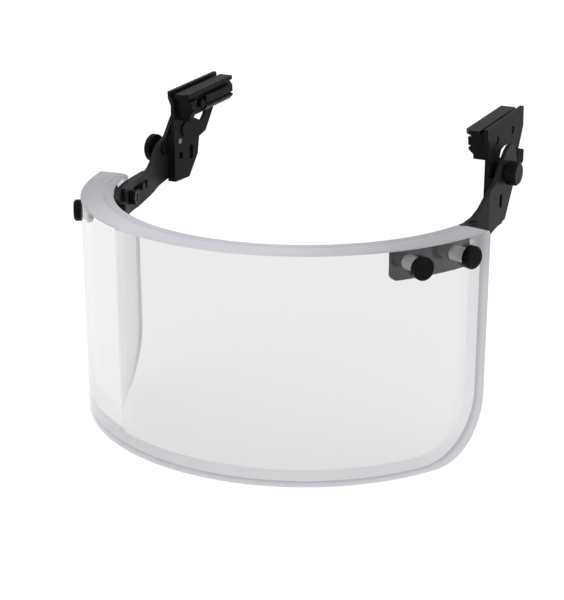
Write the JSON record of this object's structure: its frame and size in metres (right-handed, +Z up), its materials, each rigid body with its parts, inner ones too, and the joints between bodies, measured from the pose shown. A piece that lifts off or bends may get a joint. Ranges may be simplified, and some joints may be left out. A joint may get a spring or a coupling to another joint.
{
  "type": "face shield",
  "caption": "Clear, thick, curved laminated visor on two black pivoting arms that slide onto a helmet's side rails.",
  "frame": {"origin": "middle of the overall box at the visor's bottom edge", "axes": "-Y the way the wearer looks, +Z up, +X the wearer's left, +Y towards the back of the head"},
  "size_m": [0.2982, 0.2388, 0.2053],
  "materials": {
    "acrylic": "clear cast acrylic, polished faces and ground edges",
    "polycarbonate": "clear polycarbonate, hard coated inside",
    "interlayer": "clear polyurethane interlayer",
    "black_screws": "black oxide steel",
    "plated_steel": "zinc plated steel",
    "nylon": "black nylon and rubber",
    "black_knobs": "black anodised, turned and knurled",
    "black_aluminium": "black anodised extrusion",
    "black_sheet": "black powder coated sheet"
  },
  "bodies": {
    "right_mount": {"right_detent_plunger": "plated_steel", "right_leg": "black_sheet", "right_leg_screws": "black_screws", "right_pivot_cap": "black_knobs", "right_pivot_spacer": "nylon", "right_pivot_stud": "plated_steel", "right_rail_adapter": "black_aluminium", "right_lock_spring": "plated_steel"},
    "visor": {"visor_inner_ply": "polycarbonate", "visor_interlayer": "interlayer", "visor_outer_ply": "acrylic", "left_visor_arm": "black_sheet", "left_visor_bolts": "black_screws", "left_visor_bracket": "black_sheet", "right_visor_arm": "black_sheet", "right_visor_bolts": "black_screws", "right_visor_bracket": "black_sheet", "left_arm_screws": "black_screws", "left_bolt_nuts": "plated_steel", "left_bolt_sleeves": "plated_steel", "right_arm_screws": "black_screws", "right_bolt_nuts": "plated_steel", "right_bolt_sleeves": "plated_steel", "right_lock_nut": "plated_steel"},
    "left_mount": {"left_detent_plunger": "plated_steel", "left_leg": "black_sheet", "left_leg_bumper": "nylon", "left_leg_screws": "black_screws", "left_pivot_spacer": "nylon", "left_pivot_stud": "plated_steel", "left_rail_adapter": "black_aluminium", "left_lock_spring": "plated_steel"},
    "left_pivot_knob": {"left_pivot_knob": "black_knobs"},
    "right_lock_knob": {"right_lock_knob": "black_knobs"},
    "right_clamp_screw": {"right_clamp_screw": "black_screws"},
    "left_clamp_screw": {"left_clamp_screw": "black_screws"},
    "right_lock_button": {"right_lock_button": "black_knobs"},
    "left_lock_button": {"left_lock_button": "black_knobs"}
  },
  "joints": [
    {"name": "visor_flip", "type": "hinge", "parent": "right_mount", "child": "visor", "pos_m": [-0.13, 0.07046, 0.17], "axis": [-1, 0, 0], "range_deg": [0, 75]},
    {"name": "left_mount_swing", "type": "hinge", "parent": "visor", "child": "left_mount", "pos_m": [0.13, 0.07046, 0.17], "axis": [-1, 0, 0], "range_deg": [-75, 0]},
    {"name": "left_pivot_knob_turn", "type": "hinge", "parent": "left_mount", "child": "left_pivot_knob", "pos_m": [0.134, 0.07046, 0.17], "axis": [1, 0, 0], "range_deg": [0, 360]},
    {"name": "right_lock_knob_turn", "type": "hinge", "parent": "visor", "child": "right_lock_knob", "pos_m": [-0.135, 0.05115, 0.1586], "axis": [-1, 0, 0], "range_deg": [0, 360]},
    {"name": "right_clamp_screw_turn", "type": "hinge", "parent": "right_mount", "child": "right_clamp_screw", "pos_m": [-0.115, 0.10669, 0.19379], "axis": [0, 0.9976, 0.0698], "range_deg": [0, 360]},
    {"name": "right_lock_button_push", "type": "slide", "parent": "right_mount", "child": "right_lock_button", "axis": [-1, 0, 0], "range_m": [0, 0.0012], "stiffness_N_per_m": 800, "springref_m": -0.0006, "deforming": ["right_lock_spring"]},
    {"name": "left_clamp_screw_turn", "type": "hinge", "parent": "left_mount", "child": "left_clamp_screw", "pos_m": [0.115, 0.10669, 0.19379], "axis": [0, 0.9976, 0.0698], "range_deg": [0, 360]},
    {"name": "left_lock_button_push", "type": "slide", "parent": "left_mount", "child": "left_lock_button", "axis": [1, 0, 0], "range_m": [0, 0.0012], "stiffness_N_per_m": 800, "springref_m": -0.0006, "deforming": ["left_lock_spring"]}
  ],
  "couplings": [
    {"joint": "left_mount_swing", "follows": "visor_flip", "ratio": -1}
  ]
}
